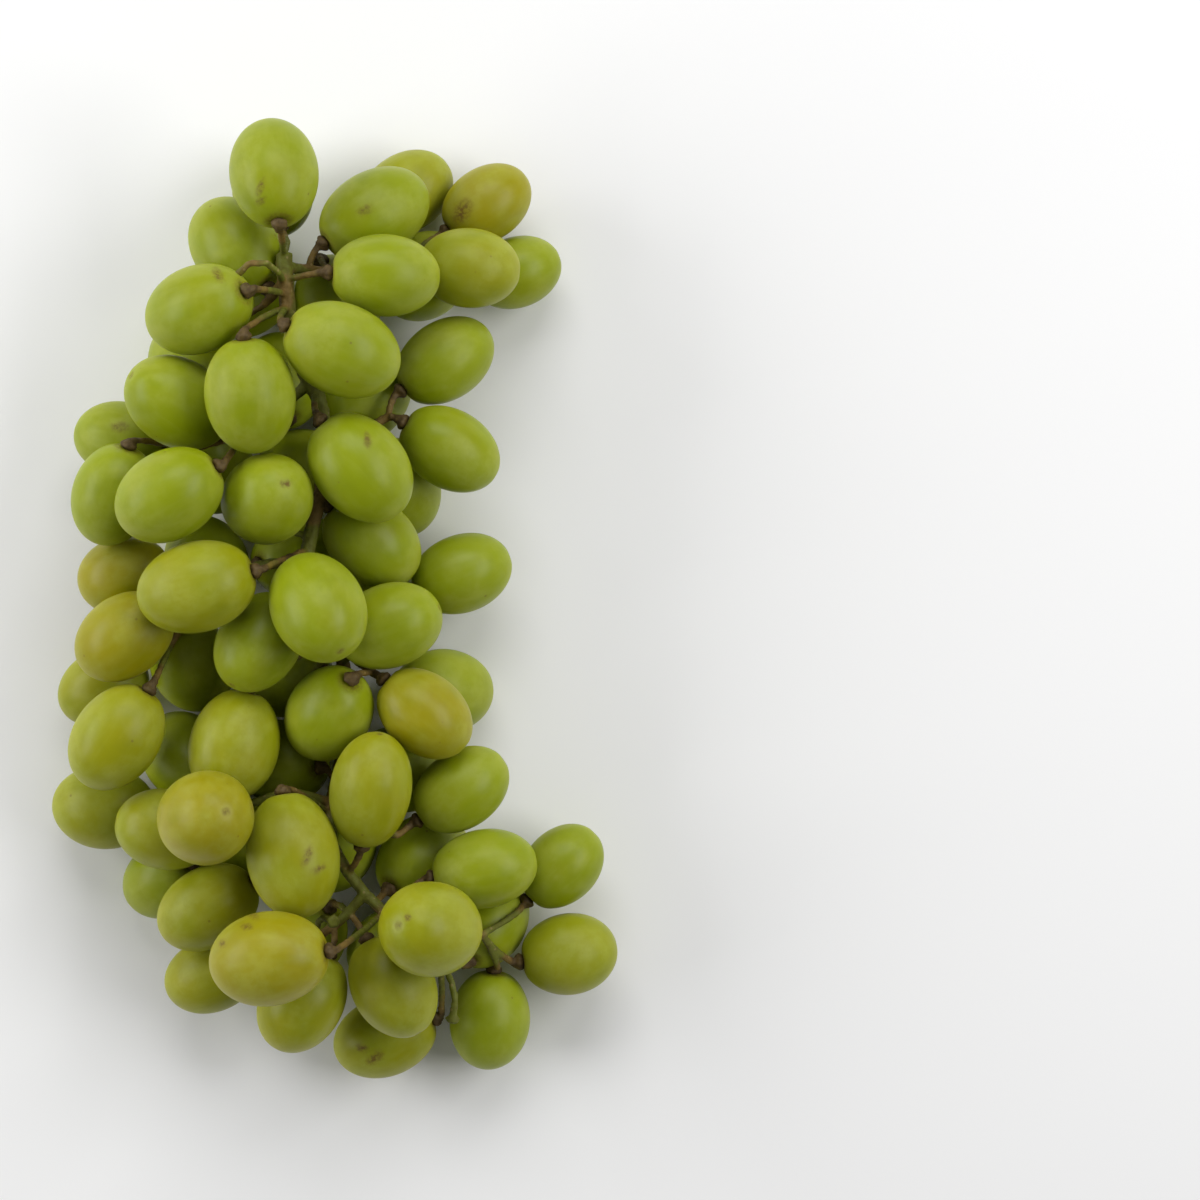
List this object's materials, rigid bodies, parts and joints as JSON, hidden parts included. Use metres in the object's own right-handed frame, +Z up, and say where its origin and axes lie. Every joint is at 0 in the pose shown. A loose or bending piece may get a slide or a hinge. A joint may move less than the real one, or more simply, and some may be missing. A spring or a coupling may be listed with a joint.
{
  "type": "bunch of grapes",
  "caption": "Bunch of oval light green grapes on a branched brown and green stem, lying on its side in a shallow crescent.",
  "frame": {"origin": "on the surface that the bunch lies on, under the middle of its bounding box", "axes": "+Z up; +Y along the bunch, from its tail towards the cut end of the main stem; +X towards the hollow side of the crescent"},
  "size_m": [0.1162, 0.1932, 0.0518],
  "materials": {
    "grape_skin": "thin translucent skin, soft sheen under a patchy pale bloom",
    "stem_wood": "matt, green to tan, with dark brown warty caps"
  },
  "bodies": {
    "root": {"crown_left_berry_1": "grape_skin", "crown_left_berry_2": "grape_skin", "crown_left_berry_3": "grape_skin", "crown_left_under_berries": "grape_skin", "crown_right_berry_1": "grape_skin", "crown_right_berry_2": "grape_skin", "crown_right_berry_3": "grape_skin", "crown_right_berry_4": "grape_skin", "crown_right_berry_5": "grape_skin", "crown_right_berry_6": "grape_skin", "crown_right_berry_7": "grape_skin", "crown_right_under_berries": "grape_skin", "lower_left_berry_1": "grape_skin", "lower_left_berry_2": "grape_skin", "lower_left_berry_3": "grape_skin", "lower_left_berry_4": "grape_skin", "lower_left_under_berries": "grape_skin", "lower_right_berry_1": "grape_skin", "lower_right_berry_2": "grape_skin", "lower_right_berry_3": "grape_skin", "lower_right_berry_4": "grape_skin", "lower_right_under_berries": "grape_skin", "middle_left_berry_1": "grape_skin", "middle_left_berry_2": "grape_skin", "middle_left_berry_3": "grape_skin", "middle_left_berry_4": "grape_skin", "middle_left_berry_5": "grape_skin", "middle_left_under_berries": "grape_skin", "middle_right_berry_1": "grape_skin", "middle_right_berry_2": "grape_skin", "middle_right_berry_3": "grape_skin", "middle_right_berry_4": "grape_skin", "middle_right_berry_5": "grape_skin", "middle_right_berry_6": "grape_skin", "middle_right_under_berries": "grape_skin", "stem": "stem_wood", "tail_left_berry_1": "grape_skin", "tail_left_berry_2": "grape_skin", "tail_left_berry_3": "grape_skin", "tail_left_berry_4": "grape_skin", "tail_left_berry_5": "grape_skin", "tail_left_berry_6": "grape_skin", "tail_right_berry_1": "grape_skin", "tail_right_berry_2": "grape_skin", "tail_right_berry_3": "grape_skin", "tail_right_berry_4": "grape_skin", "tail_right_under_berries": "grape_skin", "upper_left_berry_1": "grape_skin", "upper_left_berry_2": "grape_skin", "upper_left_berry_3": "grape_skin", "upper_left_berry_4": "grape_skin", "upper_left_berry_5": "grape_skin", "upper_left_berry_6": "grape_skin", "upper_left_under_berries": "grape_skin", "upper_right_berry_1": "grape_skin", "upper_right_berry_2": "grape_skin", "upper_right_berry_3": "grape_skin", "upper_right_berry_4": "grape_skin", "upper_right_berry_5": "grape_skin", "upper_right_under_berries": "grape_skin"}
  },
  "joints": []
}
